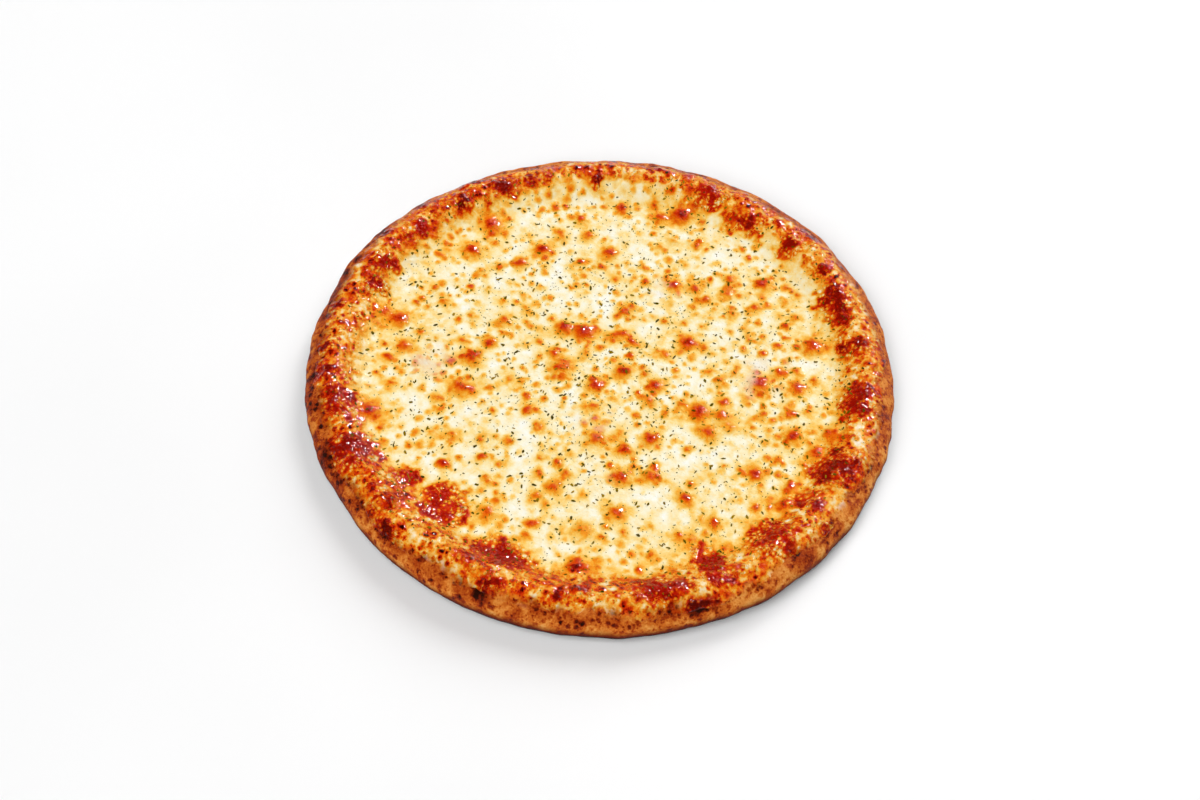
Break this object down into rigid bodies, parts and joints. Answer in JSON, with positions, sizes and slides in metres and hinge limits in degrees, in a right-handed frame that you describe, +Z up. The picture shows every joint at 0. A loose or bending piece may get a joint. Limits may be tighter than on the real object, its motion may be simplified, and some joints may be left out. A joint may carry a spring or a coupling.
{
  "type": "cheese pizza",
  "caption": "Whole round baked cheese pizza with a raised dough rim, browned melted cheese, blisters and dried herb flakes.",
  "frame": {"origin": "middle of the flat underside, on the surface the pizza rests on", "axes": "+Z up out of the cheese, X and Y along the underside, with -Y towards the side nearest the camera in the picture"},
  "size_m": [0.3048, 0.3048, 0.0227],
  "materials": {
    "crust": "baked dough, tan with brown speckles, dry and matte",
    "cheese": "melted cheese, cream with orange and red-brown blisters, oily sheen"
  },
  "bodies": {
    "root": {"crust": "crust", "cheese": "cheese"}
  },
  "joints": []
}
